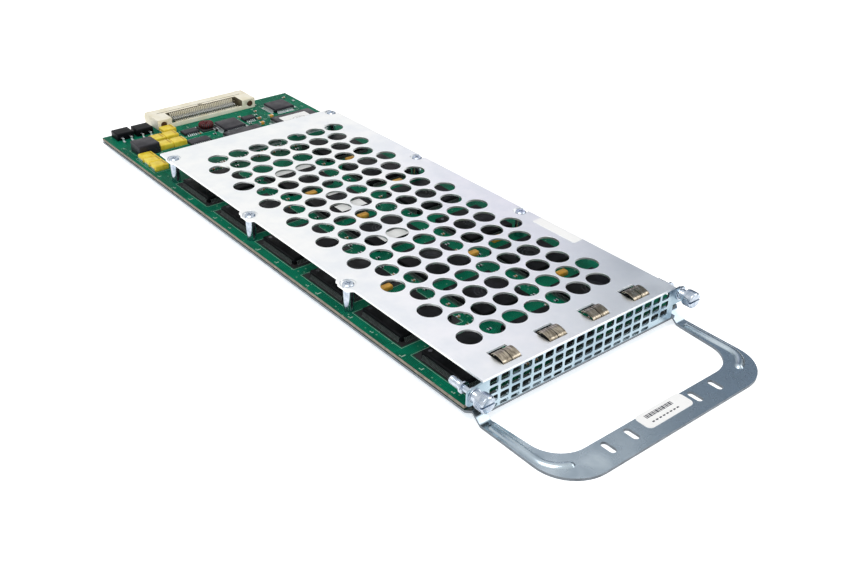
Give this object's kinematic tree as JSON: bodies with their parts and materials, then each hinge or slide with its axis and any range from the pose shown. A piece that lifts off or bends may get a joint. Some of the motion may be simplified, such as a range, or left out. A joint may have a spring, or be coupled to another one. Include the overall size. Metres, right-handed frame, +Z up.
{
  "type": "modem card",
  "caption": "Flat plug-in modem card: steel pan with pull handle, green board with 18 signal chips under a perforated cover, mesh front panel, captive thumbscrews and a rear connector.",
  "frame": {"origin": "middle of the footprint, on the surface that the handle's underside rests on", "axes": "+Y along the card from the handle to the rear connector, +Z up through the cover, +X to the right seen from the handle"},
  "size_m": [0.133, 0.399, 0.023],
  "materials": {
    "zinc_plated_steel": "bright zinc plate",
    "nickel_plated_steel": "nickel plate",
    "spring_bronze": "spring temper",
    "green_board": "solder mask over glass epoxy",
    "cream_plastic": "moulded",
    "tinned_contacts": "tin plate",
    "black_package": "moulded epoxy",
    "yellow_resin": "moulded resin",
    "red_winding": "enamelled wire",
    "white_label": "printed film, left blank"
  },
  "bodies": {
    "card": {"base_pan": "zinc_plated_steel", "buffer_chip": "black_package", "choke_base": "black_package", "choke_ring": "red_winding", "clock_chip": "black_package", "coil_block": "black_package", "connector_contacts": "tinned_contacts", "connector_housing": "cream_plastic", "controller_chip_left": "black_package", "controller_chip_right": "black_package", "cover_label": "white_label", "cover_plate": "zinc_plated_steel", "cover_screws": "nickel_plated_steel", "cover_standoffs": "nickel_plated_steel", "driver_chip": "black_package", "filter_capacitors": "yellow_resin", "front_panel": "zinc_plated_steel", "handle_label": "white_label", "interface_chip_left": "black_package", "interface_chip_right": "black_package", "main_board": "green_board", "pan_screws": "nickel_plated_steel", "power_package_leads": "tinned_contacts", "power_package_left": "black_package", "power_package_right": "black_package", "screw_ferrule_left": "nickel_plated_steel", "screw_ferrule_right": "nickel_plated_steel", "signal_chip_left_1": "black_package", "signal_chip_left_2": "black_package", "signal_chip_left_3": "black_package", "signal_chip_left_4": "black_package", "signal_chip_left_5": "black_package", "signal_chip_left_6": "black_package", "signal_chip_middle_1": "black_package", "signal_chip_middle_2": "black_package", "signal_chip_middle_3": "black_package", "signal_chip_middle_4": "black_package", "signal_chip_middle_5": "black_package", "signal_chip_middle_6": "black_package", "signal_chip_right_1": "black_package", "signal_chip_right_2": "black_package", "signal_chip_right_3": "black_package", "signal_chip_right_4": "black_package", "signal_chip_right_5": "black_package", "signal_chip_right_6": "black_package", "spring_clip_1": "spring_bronze", "spring_clip_2": "spring_bronze", "spring_clip_3": "spring_bronze", "spring_clip_4": "spring_bronze", "tantalum_capacitors": "yellow_resin"},
    "left_washer": {"retaining_washer_left": "nickel_plated_steel"},
    "left_screw": {"thumbscrew_left": "nickel_plated_steel"},
    "right_washer": {"retaining_washer_right": "nickel_plated_steel"},
    "right_screw": {"thumbscrew_right": "nickel_plated_steel"}
  },
  "joints": [
    {"name": "left_screw_travel", "type": "slide", "parent": "card", "child": "left_washer", "axis": [0, -1, 0], "range_m": [0, 0.004]},
    {"name": "left_screw_turn", "type": "hinge", "parent": "left_washer", "child": "left_screw", "pos_m": [-0.06277, -0.14925, 0.0163], "axis": [0, 1, 0], "continuous": true},
    {"name": "right_screw_travel", "type": "slide", "parent": "card", "child": "right_washer", "axis": [0, -1, 0], "range_m": [0, 0.004]},
    {"name": "right_screw_turn", "type": "hinge", "parent": "right_washer", "child": "right_screw", "pos_m": [0.05962, -0.14925, 0.0163], "axis": [0, 1, 0], "continuous": true}
  ]
}
